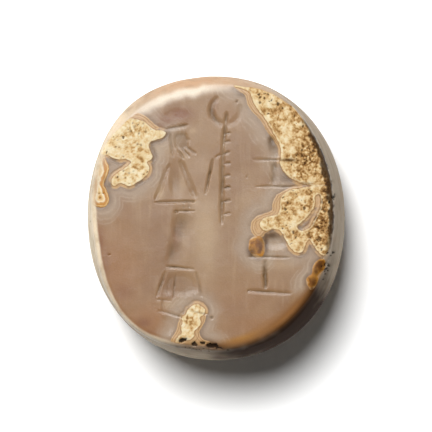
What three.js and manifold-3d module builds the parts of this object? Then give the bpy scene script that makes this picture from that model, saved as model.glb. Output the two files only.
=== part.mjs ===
// An engraved agate gem: a thick oval pebble of stone with a flat face on top, rounded walls and a domed
// back that is ground flat underneath, so that it lies face up. A worshipper, a crescent on a tasselled
// pole and two altars are cut into the face as a seal-cutter cuts them, with wheel grooves, hollowed
// fields and drilled dots.
// Units are millimetres. +Z points out of the engraved face, +Y to the top of the picture, and the origin
// is at the middle of the underside.
import * as THREE from "three";
import { mergeVertices } from "three/addons/utils/BufferGeometryUtils.js";
import Module from "manifold-3d";

const wasm = await Module();
wasm.setup();

// Driving dimensions of the stone
const WIDTH = 21.4;
const LENGTH = 23.6;
const THICKNESS = 10.5;
const GIRDLE_HEIGHT = 5.2;
const UNDERSIDE_SHARE = 0.52;

// The oval is a little fuller than an ellipse, and it has a shoulder at upper left and at lower right
const FULLNESS = 2.1;
const degrees = THREE.MathUtils.degToRad;
const SHOULDERS = [
  { extra: 0.27, angle: degrees(130), spread: 0.36 },
  { extra: 0.09, angle: degrees(311), spread: 0.36 },
];

// Plan width of the wall between the face and the girdle, and where wear changes it:
// wide along the top, on the left and at lower right, narrow at lower left and at upper right
const WALL_WIDTH = 0.97;
const WALL_WEAR = [
  { extra: 0.5, angle: degrees(112), spread: 0.6 },
  { extra: 0.15, angle: degrees(98), spread: 0.06 },
  { extra: 0.22, angle: degrees(192), spread: 0.3 },
  { extra: 0.3, angle: degrees(311), spread: 0.35 },
  { extra: -0.52, angle: degrees(234), spread: 0.36 },
  { extra: -0.35, angle: degrees(58), spread: 0.3 },
];

// The edge of the face is worn round, more so at the top and at lower right
const EDGE_RADIUS = 0.45;
const EDGE_WEAR = [
  { extra: 0.65, angle: degrees(112), spread: 0.6 },
  { extra: 0.45, angle: degrees(303), spread: 0.45 },
  { extra: -0.2, angle: degrees(231), spread: 0.4 },
  { extra: -0.15, angle: degrees(50), spread: 0.3 },
];

// How finely the stone and its cuts are faceted
const SECTORS = 88;
const EDGE_STEPS = 5;
const WALL_STEPS = 5;
const BACK_STEPS = 8;
const CUT_STATIONS = 7;

// Cutters reach this far above the face, so that they part from it cleanly
const CLEARANCE = 0.4;

const turnBetween = (a, b) => Math.atan2(Math.sin(a - b), Math.cos(a - b));

// The sum of smooth local swellings round the oval, at one angle
function swelling(places, angle) {
  const height = (p) => p.extra * Math.exp(-((turnBetween(angle, p.angle) / p.spread) ** 2));
  return places.reduce((sum, p) => sum + height(p), 0);
}

function girdleRadius(angle) {
  const across = Math.abs(Math.cos(angle) / (WIDTH / 2)) ** FULLNESS;
  const along = Math.abs(Math.sin(angle) / (LENGTH / 2)) ** FULLNESS;
  return (across + along) ** (-1 / FULLNESS) + swelling(SHOULDERS, angle);
}

const wallWidth = (angle) => WALL_WIDTH + swelling(WALL_WEAR, angle);
const edgeRadius = (angle) => EDGE_RADIUS + swelling(EDGE_WEAR, angle);

// A closed loft through sections, which are loops with the same number of points.
// Loops run anticlockwise when seen from the side that the loft grows towards.
function loft(sections) {
  const count = sections[0].length;
  const positions = [];
  const triangle = (...corners) => corners.forEach((p) => positions.push(p.x, p.y, p.z));
  const middle = (loop) => loop.reduce((sum, p) => sum.add(p), new THREE.Vector3()).divideScalar(count);
  const [first, last] = [sections[0], sections.at(-1)];
  const [firstMiddle, lastMiddle] = [middle(first), middle(last)];
  for (let i = 0; i < count; i++) {
    const next = (i + 1) % count;
    triangle(firstMiddle, first[next], first[i]);
    triangle(lastMiddle, last[i], last[next]);
    for (let s = 0; s + 1 < sections.length; s++) {
      const [low, high] = [sections[s], sections[s + 1]];
      triangle(low[i], low[next], high[next]);
      triangle(low[i], high[next], high[i]);
    }
  }
  const geometry = new THREE.BufferGeometry();
  geometry.setAttribute("position", new THREE.Float32BufferAttribute(positions, 3));
  return geometry;
}

function toSolid(geometry) {
  const merged = mergeVertices(geometry, 1e-5);
  return new wasm.Manifold(
    new wasm.Mesh({
      numProp: 3,
      vertProperties: merged.attributes.position.array,
      triVerts: new Uint32Array(merged.index.array),
    }),
  );
}

function toGeometry(solid) {
  const mesh = solid.getMesh();
  const geometry = new THREE.BufferGeometry();
  geometry.setAttribute("position", new THREE.BufferAttribute(mesh.vertProperties, 3));
  geometry.setIndex(new THREE.BufferAttribute(mesh.triVerts, 1));
  geometry.computeVertexNormals();
  return geometry;
}

// The uncut stone, as outlines from the underside up to the face. A profile gives the radius and the
// height at one angle
function stoneOutline(profile) {
  return Array.from({ length: SECTORS }, (_, i) => {
    const angle = (i / SECTORS) * 2 * Math.PI;
    const [radius, height] = profile(angle);
    return new THREE.Vector3(radius * Math.cos(angle), radius * Math.sin(angle), height);
  });
}

// How far the wall leans inward where it meets the rounded edge
function wallLean(angle) {
  const rise = THICKNESS - edgeRadius(angle) - GIRDLE_HEIGHT;
  return (2 * (wallWidth(angle) - edgeRadius(angle))) / rise;
}

// The back: a dome from the flat underside at share 0 to the girdle at share 1
function backProfile(angle, share) {
  const turn = (share * Math.PI) / 2;
  const shrink = UNDERSIDE_SHARE + (1 - UNDERSIDE_SHARE) * Math.sin(turn);
  return [girdleRadius(angle) * shrink, GIRDLE_HEIGHT * (1 - Math.cos(turn))];
}

// The wall: upright at the girdle, at share 0, and leaning inward up to the rounded edge, at share 1
function wallProfile(angle, share) {
  const lean = wallLean(angle);
  const inset = (wallWidth(angle) - edgeRadius(angle) * Math.cos(lean)) * share ** 2;
  const foot = THICKNESS - edgeRadius(angle) * (1 - Math.sin(lean));
  return [girdleRadius(angle) - inset, GIRDLE_HEIGHT + (foot - GIRDLE_HEIGHT) * share];
}

// The rounded edge: an arc from the wall at share 0 to the face at share 1
function edgeProfile(angle, share) {
  const turn = (1 - share) * (Math.PI / 2 - wallLean(angle));
  const radius = girdleRadius(angle) - wallWidth(angle) + edgeRadius(angle) * Math.sin(turn);
  return [radius, THICKNESS - edgeRadius(angle) * (1 - Math.cos(turn))];
}

function stone() {
  const outlines = [];
  const raise = (profile, steps, first) => {
    for (let i = first; i <= steps; i++) {
      outlines.push(stoneOutline((angle) => profile(angle, i / steps)));
    }
  };
  raise(backProfile, BACK_STEPS, 0);
  raise(wallProfile, WALL_STEPS, 1);
  raise(edgeProfile, EDGE_STEPS, 1);
  return loft(outlines);
}

// A wheel cut: a round-bottomed groove along a curve on the face, running out to nothing at both ends
function groove(curve, width, depth, stations = CUT_STATIONS) {
  const FLOOR_SHARE = 0.55;
  const FLOOR_DEPTH = 0.72;
  const END_SHARE = 0.3;
  const sections = [];
  for (let i = 0; i < stations; i++) {
    const along = i / (stations - 1);
    const taper = END_SHARE + (1 - END_SHARE) * Math.sqrt(1 - (2 * along - 1) ** 4);
    const half = (width / 2) * taper;
    const deep = depth * taper;
    const flare = half + (CLEARANCE * half * (1 - FLOOR_SHARE)) / (FLOOR_DEPTH * deep);
    const at = curve.getPoint(along);
    const ahead = curve.getTangent(along);
    const profile = [
      [flare, CLEARANCE],
      [-flare, CLEARANCE],
      [-half * FLOOR_SHARE, -deep * FLOOR_DEPTH],
      [0, -deep],
      [half * FLOOR_SHARE, -deep * FLOOR_DEPTH],
    ];
    const place = ([side, up]) => {
      const beside = new THREE.Vector2(-ahead.y, ahead.x).multiplyScalar(side).add(at);
      return new THREE.Vector3(beside.x, beside.y, THICKNESS + up);
    };
    sections.push(profile.map(place));
  }
  return loft(sections);
}

const line = (x1, y1, x2, y2) => new THREE.LineCurve(new THREE.Vector2(x1, y1), new THREE.Vector2(x2, y2));

// A hollowed field: a shallow basin under an outline, with sloping sides and a narrower floor
function hollow(points, depth) {
  const levels = [
    [0.5, -depth],
    [0.82, -depth * 0.75],
    [1, 0],
    [1.06, CLEARANCE],
  ];
  const middle = points.reduce((sum, p) => sum.add(p), new THREE.Vector2()).divideScalar(points.length);
  const ring = ([share, up]) =>
    points.map((p) => {
      const place = middle.clone().lerp(p, share);
      return new THREE.Vector3(place.x, place.y, THICKNESS + up);
    });
  return loft(levels.map(ring));
}

const outline = (...pairs) => pairs.map(([x, y]) => new THREE.Vector2(x, y));

function oval(x, y, halfWidth, halfHeight, tilt = 0) {
  const OVAL_POINTS = 14;
  const curve = new THREE.EllipseCurve(x, y, halfWidth, halfHeight, 0, 2 * Math.PI, false, tilt);
  return curve.getPoints(OVAL_POINTS).slice(0, OVAL_POINTS);
}

const dot = (x, y, radius, depth) => hollow(oval(x, y, radius, radius), depth);

// The crescent on its pole, with a row of tassels down the pole's right side
const POLE = { top: [1.08, 8.5], foot: [0.7, -0.85], width: 0.36, depth: 0.32 };
const TASSEL = { count: 8, first: 7.09, pitch: 1.01, reach: 0.55, rise: 0.1, width: 0.22, depth: 0.24 };
const CRESCENT = { x: 1.25, y: 8.75, radius: 1.5, from: 155, to: 375, width: 0.42, depth: 0.28 };

function crescentPole() {
  const pole = line(...POLE.top, ...POLE.foot);
  const poleX = (y) => THREE.MathUtils.mapLinear(y, POLE.top[1], POLE.foot[1], POLE.top[0], POLE.foot[0]);
  const cuts = [groove(pole, POLE.width, POLE.depth)];
  for (let i = 0; i < TASSEL.count; i++) {
    const y = TASSEL.first - i * TASSEL.pitch;
    const x = poleX(y);
    cuts.push(groove(line(x, y - TASSEL.rise, x + TASSEL.reach, y), TASSEL.width, TASSEL.depth, 4));
  }
  const { x, y, radius, from, to } = CRESCENT;
  const [start, end] = [from, to].map(degrees);
  const arc = new THREE.EllipseCurve(x, y, radius, radius, start, end, false, 0);
  cuts.push(groove(arc, CRESCENT.width, CRESCENT.depth, 15));
  return cuts;
}

// The worshipper, who faces the pole with one hand raised: head, torso, belt, robe and fringed hem
const FRINGE = { strands: 7, topY: -5.0, footY: -6.75, topX: [-3.75, -1.45], footX: [-4.55, -0.8] };

function head() {
  return [
    hollow(oval(-3.0, 8.2, 1.15, 0.5, 0.15), 0.22),
    groove(line(-3.85, 7.0, -2.05, 7.55), 0.34, 0.3),
    hollow(oval(-2.35, 6.35, 0.72, 0.95), 0.28),
    hollow(oval(-3.3, 6.0, 0.42, 1.25, 0.08), 0.24),
    groove(line(-2.25, 6.1, -1.4, 5.15), 0.26, 0.34, 5),
    groove(line(-2.5, 5.85, -1.85, 4.95), 0.24, 0.34, 5),
    groove(line(-2.75, 5.65, -2.3, 4.85), 0.22, 0.32, 5),
  ];
}

function body() {
  const torso = outline(
    [-4.6, 1.3], [-1.3, 1.3], [-1.75, 2.8], [-2.45, 4.35], [-3.35, 4.35], [-3.95, 2.9],
  );
  const robe = outline(
    [-3.75, -4.2], [-1.0, -4.2], [-0.5, -2.2], [-1.15, -0.05], [-3.15, -0.05], [-3.4, -2.2],
  );
  const hem = outline([-4.6, -6.85], [-0.65, -6.85], [-1.4, -4.75], [-3.65, -4.7]);
  return [
    hollow(torso, 0.26),
    groove(line(-3.0, 4.4, -2.85, 1.3), 0.95, 0.36),
    groove(line(-2.45, 4.3, -1.05, 1.4), 0.4, 0.3),
    groove(line(-0.58, 1.6, 0.1, 4.6), 0.28, 0.3),
    groove(line(0.33, 4.72, 1.5, 5.14), 0.26, 0.28, 5),
    groove(line(-4.75, 1.03, -1.38, 1.05), 0.3, 0.34),
    groove(line(-3.05, 0.22, -1.38, 0.34), 0.24, 0.3, 5),
    dot(-2.95, 0.22, 0.2, 0.3),
    hollow(robe, 0.3),
    groove(line(-3.85, -4.3, -1.5, -4.6), 0.26, 0.34),
    hollow(hem, 0.26),
  ];
}

function fringe() {
  const cuts = [];
  for (let i = 0; i < FRINGE.strands; i++) {
    const share = i / (FRINGE.strands - 1);
    const top = THREE.MathUtils.lerp(...FRINGE.topX, share);
    const foot = THREE.MathUtils.lerp(...FRINGE.footX, share);
    cuts.push(groove(line(top, FRINGE.topY, foot, FRINGE.footY), 0.22, 0.34, 5));
  }
  return cuts;
}

function feet() {
  return [
    groove(line(-4.05, -7.15, -4.05, -8.5), 0.4, 0.22, 5),
    groove(line(-4.4, -8.05, -0.35, -8.4), 0.22, 0.28),
    dot(0.0, -8.6, 0.16, 0.28),
    hollow(outline([-3.3, -10.1], [-2.8, -9.4], [-2.85, -8.55], [-4.2, -8.6], [-3.95, -9.6]), 0.18),
  ];
}

// Pits where the stone has broken out along the lower edge of the face
function edgePits() {
  return [
    hollow(oval(0.25, -10.75, 0.8, 0.3, -0.2), 0.45),
    hollow(oval(-0.8, -10.65, 0.36, 0.24), 0.4),
    hollow(oval(-2.2, -10.4, 0.55, 0.3, 0.2), 0.35),
  ];
}

// An altar: a post between two level bars, as wide as its bars are long
function altar({ x, top, foot, left, right, slope, post }) {
  const BAR = { width: 0.27, depth: 0.3 };
  const bar = (y) => groove(line(left, y, right, y + slope), BAR.width, BAR.depth);
  const upright = groove(line(x, top - 0.2, x, foot + 0.2), post, 0.28, 5);
  return [bar(top), bar(foot), upright];
}

const UPPER_ALTAR = { x: 5.3, top: 4.45, foot: 2.25, left: 3.45, right: 6.9, slope: 0.02, post: 0.62 };
const LOWER_ALTAR = { x: 4.36, top: -3.35, foot: -6.32, left: 3.05, right: 6.48, slope: -0.28, post: 0.5 };

function symbolsOnAltars() {
  return [
    groove(line(5.0, 6.5, 5.3, 4.65), 0.7, 0.3, 5),
    hollow(oval(5.2, -2.5, 1.02, 0.88), 0.3),
  ];
}

const cuts = [
  ...crescentPole(),
  ...head(),
  ...body(),
  ...fringe(),
  ...feet(),
  ...altar(UPPER_ALTAR),
  ...altar(LOWER_ALTAR),
  ...symbolsOnAltars(),
  ...edgePits(),
];

const engraved = toSolid(stone()).subtract(wasm.Manifold.union(cuts.map(toSolid)));

const agate = new THREE.MeshStandardMaterial({ color: 0xb39a83, roughness: 0.28, metalness: 0 });
const gem = new THREE.Mesh(toGeometry(engraved), agate);
gem.name = "gem";

const part = new THREE.Group();
part.name = "engraved_gem";
part.add(gem);

export default part;
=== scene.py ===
"""Looks of an engraved agate gem that lies face up on a white table, seen from almost straight above."""
import math

import bpy
import numpy as np
from mathutils import Matrix, Vector, noise


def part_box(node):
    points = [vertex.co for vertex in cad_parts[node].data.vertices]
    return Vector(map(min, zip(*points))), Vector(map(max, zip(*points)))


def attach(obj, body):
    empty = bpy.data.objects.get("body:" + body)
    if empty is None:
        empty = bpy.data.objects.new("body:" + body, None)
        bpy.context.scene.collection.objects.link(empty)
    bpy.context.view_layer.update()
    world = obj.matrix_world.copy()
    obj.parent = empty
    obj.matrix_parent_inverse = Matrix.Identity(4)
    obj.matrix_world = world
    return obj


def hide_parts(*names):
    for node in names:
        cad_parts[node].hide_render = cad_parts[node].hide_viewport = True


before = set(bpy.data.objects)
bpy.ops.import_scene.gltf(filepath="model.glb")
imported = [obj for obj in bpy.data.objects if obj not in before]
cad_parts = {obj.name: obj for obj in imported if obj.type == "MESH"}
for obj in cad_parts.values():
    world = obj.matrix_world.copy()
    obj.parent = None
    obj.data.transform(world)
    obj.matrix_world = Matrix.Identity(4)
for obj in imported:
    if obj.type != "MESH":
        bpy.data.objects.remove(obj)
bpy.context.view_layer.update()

# Sizes here are in millimetres, and the mesh is scaled to metres when it is made
MM = 0.001
gem_low, gem_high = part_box("gem")
WIDTH = (gem_high.x - gem_low.x) / MM
LENGTH = (gem_high.y - gem_low.y) / MM
THICKNESS = gem_high.z / MM
GIRDLE_HEIGHT = 5.2
UNDERSIDE_SHARE = 0.52

# The oval is a little fuller than an ellipse. Swellings are (extra, angle in degrees, spread in radians)
FULLNESS = 2.1
SHOULDERS = [(0.27, 130, 0.36), (0.09, 311, 0.36)]
WALL_WIDTH = 0.97
WALL_WEAR = [
    (0.5, 112, 0.6), (0.15, 98, 0.06), (0.3, 311, 0.35), (-0.52, 234, 0.36), (-0.35, 58, 0.3),
    (0.22, 192, 0.3),
]

# The edge of the face is worn round, more so at the top and at the lower right
EDGE_RADIUS = 0.45
EDGE_WEAR = [(0.65, 112, 0.6), (0.45, 303, 0.45), (-0.2, 231, 0.4), (-0.15, 50, 0.3)]

# Inside that edge the face falls away a little: how far in the fall reaches, and how steep it gets
FALL_REACH = 0.3
FALL_WEAR = [(0.45, 112, 0.6), (0.5, 303, 0.5)]
FALL_SLOPE = 0.10

# How finely the stone is meshed: the face is a square grid pressed into the oval
FACE_HALF_GRID = 136
WALL_RINGS = 22
EDGE_SHARE = 0.5
BACK_RINGS = 16

# The photograph's frame, and where the middle of the face lies in it
IMAGE_SIDE = 432
PIXELS_PER_MM = 12.0
FACE_CENTRE_PIXEL = (211.8, 214.1)

SEED = 7


def on_face(pixels):
    """Points read off the photograph, as millimetres on the face."""
    points = np.array(pixels, float)
    across = points[..., 0] - FACE_CENTRE_PIXEL[0]
    up = FACE_CENTRE_PIXEL[1] - points[..., 1]
    return np.stack([across, up], axis=-1) / PIXELS_PER_MM


def smooth(low, high, value):
    """0 below low, 1 above high and a soft step between."""
    share = np.clip((value - low) / (high - low), 0, 1)
    return share * share * (3 - 2 * share)


# The stone's outline

def swelling(places, angle):
    total = np.zeros_like(angle)
    for extra, degrees, spread in places:
        turn = angle - math.radians(degrees)
        turn = np.arctan2(np.sin(turn), np.cos(turn))
        total += extra * np.exp(-((turn / spread) ** 2))
    return total


def girdle_radius(angle):
    across = np.abs(np.cos(angle) / (WIDTH / 2)) ** FULLNESS
    along = np.abs(np.sin(angle) / (LENGTH / 2)) ** FULLNESS
    return (across + along) ** (-1 / FULLNESS) + swelling(SHOULDERS, angle)


def wall_width(angle):
    return WALL_WIDTH + swelling(WALL_WEAR, angle)


def face_radius(angle):
    return girdle_radius(angle) - wall_width(angle)


def edge_radius(angle):
    return EDGE_RADIUS + swelling(EDGE_WEAR, angle)


def face_fall(inward, angle):
    """How far the worn face lies below its middle, at a distance in from its edge."""
    reach = FALL_REACH + swelling(FALL_WEAR, angle)
    return FALL_SLOPE / 2 * reach * np.clip(1 - inward / reach, 0, 1) ** 2


# The engraving: wheel cuts as (from pixel, to pixel, width, depth, dirt and painted shade), in millimetres
# of width and depth

POLE = [
    ((227, 112), (223.2, 148), 0.55, 0.10, 0.7),
    ((223.2, 146), (221.6, 224), 0.60, 0.12, 0.75),
]
TASSEL_ROWS = [133.5, 141.5, 163.5, 175.5, 187.5, 200.5, 213.5]
TASSELS = [((223, y + 1), (230.5, y - 0.5), 0.34, 0.08, 0.9) for y in TASSEL_ROWS]
HEAD_LINES = [
    ((167, 129), (188, 125), 0.45, 0.07, 0.6),
    ((184, 145), (196, 154), 0.36, 0.07, 0.7),
    ((181, 147), (190, 157), 0.34, 0.07, 0.6),
    ((178, 148), (184, 159), 0.32, 0.06, 0.5),
]
BODY_LINES = [
    ((170, 164), (156, 200), 0.60, 0.09, 0.1),
    ((180, 160), (196, 198), 0.80, 0.08, 0.2),
    ((213, 159), (205.5, 194), 0.36, 0.10, 0.8),
    ((216, 157), (230, 152), 0.36, 0.10, 0.9),
    ((155, 202), (195, 201.5), 0.40, 0.11, 0.8),
    ((176, 211), (195, 210.5), 0.34, 0.09, 0.8),
    ((183, 203), (184, 209), 0.24, 0.04, 0.4),
    ((189, 203), (189, 209), 0.24, 0.04, 0.4),
]
HEM_LINES = [
    ((166, 266), (194, 269), 0.32, 0.09, 0.9),
    ((166, 271), (157, 296), 0.50, 0.07, 0.6),
    ((171, 274), (167, 295), 0.26, 0.03, 0.3),
    ((176, 273), (173.5, 298), 0.40, 0.05, 0.6),
    ((184, 276), (185, 297), 0.26, 0.03, 0.2),
    ((191, 275), (194, 297), 0.26, 0.03, 0.2),
    ((196, 272), (202, 297), 0.42, 0.05, 0.5),
    ((156, 299), (172, 300), 0.24, 0.03, 0.4),
]
FEET_LINES = [
    ((163, 299), (163, 313), 0.45, 0.04, 0.3),
    ((159, 310), (184, 317), 0.30, 0.06, 0.6),
    ((189, 310), (208, 314), 0.28, 0.06, 0.8),
]
ALTAR_LINES = [
    ((253, 160), (295, 161), 0.34, 0.05, 0.6),
    ((256, 187), (300, 187), 0.34, 0.06, 0.6),
    ((274, 162), (274, 186), 0.90, 0.06, 0.5),
    ((271, 137), (276, 158), 1.00, 0.07, 0.5),
    ((248, 256.5), (289, 258), 0.34, 0.07, 0.6),
    ((247, 290.5), (291, 293.5), 0.40, 0.09, 0.9),
    ((265.5, 260), (265, 289), 0.70, 0.09, 0.9),
]
WHEEL_CUTS = POLE + TASSELS + HEAD_LINES + BODY_LINES + HEM_LINES + FEET_LINES + ALTAR_LINES

# Lopsided cuts, steep on one side: (from, to, width to the left, width to the right, depth, dirt and
# painted shade)
LOPSIDED_CUTS = [
    ((171, 156), (177, 206), 0.50, 1.10, 0.09, 0.4),
    ((179, 200), (176, 252), 0.60, 1.80, 0.09, 0.9),
    ((177, 228), (168, 274), 0.60, 1.40, 0.07, 0.7),
]

# The crescent: middle and radius in pixels, from and to in degrees, width and depth
CRESCENT = {"middle": (226, 110), "radius": 14.5, "span": (122, 380), "width": 0.85, "depth": 0.08}

# Hollowed fields: outline, depth, width of the sloping side, dirt and painted shade
HOLLOWS = [
    ([(160, 115), (172, 106), (190, 109), (190, 119), (172, 123)], 0.012, 0.4, 0.0),
    (
        [
            (174, 131), (186, 130), (189, 134), (189.5, 137), (192.5, 140.5), (190, 142), (190.5, 145),
            (189, 149), (184, 152), (177, 151), (173, 146), (172, 138),
        ], 0.08, 0.35, 0.5,
    ),
    ([(168, 133), (173, 132), (176, 150), (174, 160), (169, 152)], 0.06, 0.3, 0.75),
    ([(166, 269), (197, 270), (205, 298), (155, 297)], 0.05, 0.6, 0.15),
    ([(167, 270), (177, 271), (175, 297), (157, 295)], 0.03, 0.5, 0.3),
    ([(160, 315), (173, 314), (177, 325), (173, 336), (167, 337), (162, 326)], 0.05, 0.5, 0.0),
    ([(261, 233), (280, 231), (289, 240), (287, 250), (270, 252), (261, 246)], 0.08, 0.6, 0.1),
]

# Small drilled dots: pixel, radius, depth
DOTS = [
    ((176.5, 211.5), 0.20, 0.18),
    ((193.5, 201.5), 0.15, 0.14),
    ((186, 138), 0.08, 0.05),
    ((212, 317), 0.15, 0.15),
    ((237, 102), 0.11, 0.14),
    ((247, 177), 0.07, 0.07),
    ((248.5, 291), 0.11, 0.10),
    ((109.5, 254), 0.09, 0.12),
    ((251.5, 256), 0.12, 0.14),
    ((135, 126.5), 0.17, 0.10),
    ((130.5, 131), 0.15, 0.10),
    ((144, 123.5), 0.12, 0.08),
    ((146, 131.5), 0.15, 0.10),
    ((139.5, 133), 0.13, 0.08),
    ((138, 144), 0.13, 0.08),
    ((141.5, 145), 0.13, 0.08),
    ((114, 138), 0.13, 0.08),
    ((116, 146.5), 0.12, 0.08),
    ((119.5, 147), 0.11, 0.08),
    ((124, 171), 0.11, 0.10),
    ((129.5, 173), 0.11, 0.10),
    ((134, 171), 0.10, 0.08),
    ((138, 169), 0.09, 0.08),
    ((118, 177), 0.12, 0.10),
    ((126, 177.5), 0.11, 0.08),
    ((99.5, 193), 0.10, 0.08),
    ((103.7, 193), 0.09, 0.08),
    ((100.5, 197.5), 0.10, 0.08),
]

# Where the stone has broken out along its edges: middle, half sizes, tilt in degrees, depth
EDGE_PITS = [
    ((213, 345), (0.55, 0.24), -12, 0.30),
    ((220, 348), (0.30, 0.14), -12, 0.25),
    ((195, 343), (0.20, 0.14), 0, 0.25),
    ((203, 342), (0.24, 0.15), 0, 0.25),
    ((183, 339), (0.38, 0.18), 15, 0.30),
    ((177, 347), (0.14, 0.10), 0, 0.20),
]

# Clusters of pits in the walls: pixel, spread in pixels, number, size in mm
WALL_PITS = [
    ((332, 270), (5, 10), 60, 0.14), ((336, 200), (3, 10), 16, 0.20), ((346, 256), (2, 4), 4, 0.26),
    ((330, 158), (3, 12), 12, 0.10), ((93, 152), (1, 2), 2, 0.3), ((80, 221), (1, 2), 2, 0.22),
    ((206, 352), (16, 3), 34, 0.12),
]

# The face is worn, so that this share of the depth of its cuts is left
WORN_DEPTH = 0.5


def taper(along):
    """How a wheel cut runs out towards both ends."""
    return 0.3 + 0.7 * np.sqrt(np.clip(1 - (2 * along - 1) ** 4, 0, 1))


def run_out(along):
    """How a broad cut fades towards both ends."""
    return smooth(0, 0.5, along) * smooth(1, 0.5, along)


def cut_along(x, y, start, end, left, right, ends=taper):
    """Depth share of a cut between two points, 1 along its middle and 0 outside."""
    narrows = ends is taper
    (x1, y1), (x2, y2) = on_face(start), on_face(end)
    run_x, run_y = x2 - x1, y2 - y1
    length = math.hypot(run_x, run_y)
    along = np.clip(((x - x1) * run_x + (y - y1) * run_y) / length**2, 0, 1)
    off = np.hypot(x - x1 - along * run_x, y - y1 - along * run_y)
    on_left = run_x * (y - y1) - run_y * (x - x1) > 0
    share = ends(along)
    reach = np.where(on_left, left, right) * (share if narrows else 1)
    return share * np.clip(1 - (off / reach) ** 2, 0, None) ** 2


def cut_round(x, y):
    """Depth share of the crescent."""
    middle_x, middle_y = on_face(CRESCENT["middle"])
    start, stop = CRESCENT["span"]
    angle = np.degrees(np.arctan2(y - middle_y, x - middle_x))
    along = ((angle - start) % 360) / (stop - start)
    ring = np.hypot(x - middle_x, y - middle_y) - CRESCENT["radius"] / PIXELS_PER_MM
    share = np.where(along < 1, taper(np.clip(along, 0, 1)), 0.0)
    reach = np.maximum(share * CRESCENT["width"] / 2, 1e-3)
    return share * np.clip(1 - (ring / reach) ** 2, 0, None) ** 2


def softened(points, rounds=2):
    """A closed outline with its corners cut, so that it runs in curves."""
    for _ in range(rounds):
        after = np.roll(points, -1, axis=0)
        early, late = 0.75 * points + 0.25 * after, 0.25 * points + 0.75 * after
        points = np.stack([early, late], axis=1).reshape(-1, 2)
    return points


def distance_to(x, y, points):
    """Signed distance to a closed outline, negative inside."""
    nearest = np.full(x.shape, 1e9)
    inside = np.zeros(x.shape, bool)
    for (x1, y1), (x2, y2) in zip(points, np.roll(points, -1, axis=0)):
        run_x, run_y = x2 - x1, y2 - y1
        along = ((x - x1) * run_x + (y - y1) * run_y) / max(run_x**2 + run_y**2, 1e-12)
        along = np.clip(along, 0, 1)
        off = (x - x1 - along * run_x) ** 2 + (y - y1 - along * run_y) ** 2
        nearest = np.minimum(nearest, off)
        crosses = (y1 > y) != (y2 > y)
        if run_y:
            inside ^= crosses & (x < x1 + (y - y1) * run_x / run_y)
    return np.sqrt(nearest) * np.where(inside, -1, 1)


def deepen(depth, more):
    """Joins two depths so that neighbouring cuts run into each other softly."""
    return (depth**3 + more**3) ** (1 / 3)


def engraving(x, y, wear):
    """Depth of the engraving, and how dark dirt and painted shade make it, both uneven with the wear, about
    -1 to 1.
    """
    depth = np.zeros_like(x)
    dirt_and_shade = np.zeros_like(x)

    def cut(share, deep, dirt_and_shade_share):
        nonlocal depth, dirt_and_shade
        depth = deepen(depth, share * deep)
        dirt_and_shade = np.maximum(dirt_and_shade, np.clip(share, 0, 1) ** 2 * dirt_and_shade_share * (0.9 - 0.6 * wear))

    for start, end, width, deep, dirt_and_shade_share in WHEEL_CUTS:
        cut(cut_along(x, y, start, end, width / 2, width / 2) * (1 - 0.35 * wear), deep, dirt_and_shade_share)
    for start, end, left, right, deep, dirt_and_shade_share in LOPSIDED_CUTS:
        cut(cut_along(x, y, start, end, right, left, run_out), deep, dirt_and_shade_share)
    left_horn = smooth(0.1, -0.9, x - on_face(CRESCENT["middle"])[0])
    cut(cut_round(x, y) * (0.45 + 0.55 * left_horn), CRESCENT["depth"], 0.1 + 0.9 * left_horn)
    for outline, deep, slope, dirt_and_shade_share in HOLLOWS:
        inside = -distance_to(x, y, softened(on_face(outline)))
        cut(smooth(0, slope, inside), deep, dirt_and_shade_share)
    for pixel, radius, deep in DOTS:
        dot_x, dot_y = on_face(pixel)
        cut(np.clip(1 - ((x - dot_x) ** 2 + (y - dot_y) ** 2) / radius**2, 0, None), deep, 1.0)
    return depth * WORN_DEPTH, dirt_and_shade


# Inclusions in the stone, outlined on the photograph: cream cores, tan rims and glassy brown amber

CORES = [
    [
        (112, 114), (121, 116), (134, 118), (143, 119.5), (149, 125), (155, 130), (163, 130),
        (167, 133), (162, 138.5), (154, 140), (148, 143.5), (151, 151), (153.5, 156), (151, 160),
        (146.5, 161.5), (150, 166), (149, 173), (144, 178.5), (137, 182.5), (131, 186.5), (125, 184),
        (120.5, 181.5), (115, 186), (111.5, 183), (112.5, 176), (120, 171), (127, 167), (132, 162),
        (127, 158.5), (120, 159.5), (112, 157), (107, 154), (97, 153), (88, 147), (88, 134), (98, 120),
    ],
    [
        (233, 86), (239, 88.5), (249, 91.5), (252, 97), (254, 104), (258, 111), (264, 118), (270, 128),
        (275, 137), (281, 148), (281, 155), (279, 161), (281, 168), (287, 176), (295, 182), (306, 185),
        (320, 188), (338, 188), (337, 168), (330, 148), (319, 128), (305, 109), (288, 95), (270, 87),
        (250, 82), (238, 82),
    ],
    [
        (340, 184), (318, 185), (302, 188), (290, 190), (283, 194), (279.5, 202), (280, 211),
        (278, 215), (266, 216.5), (260, 220), (259.5, 227), (264, 231.5), (270, 230.5), (276, 229),
        (281.5, 231.5), (285, 239), (290, 248), (295, 253), (301, 253.5), (305, 249), (306, 243),
        (309.5, 240), (313, 245), (317, 252), (323, 257), (331, 256), (337, 244), (340, 215),
    ],
    [
        (188, 308), (194, 302.5), (201, 303.5), (206, 309), (204.5, 315), (199, 317), (202, 321),
        (198.5, 328), (194, 330), (196, 336), (189, 341), (183, 339), (175, 345), (177, 337),
        (182.5, 333), (180, 326), (183.5, 322), (181, 317), (186.5, 313),
    ],
]
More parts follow.
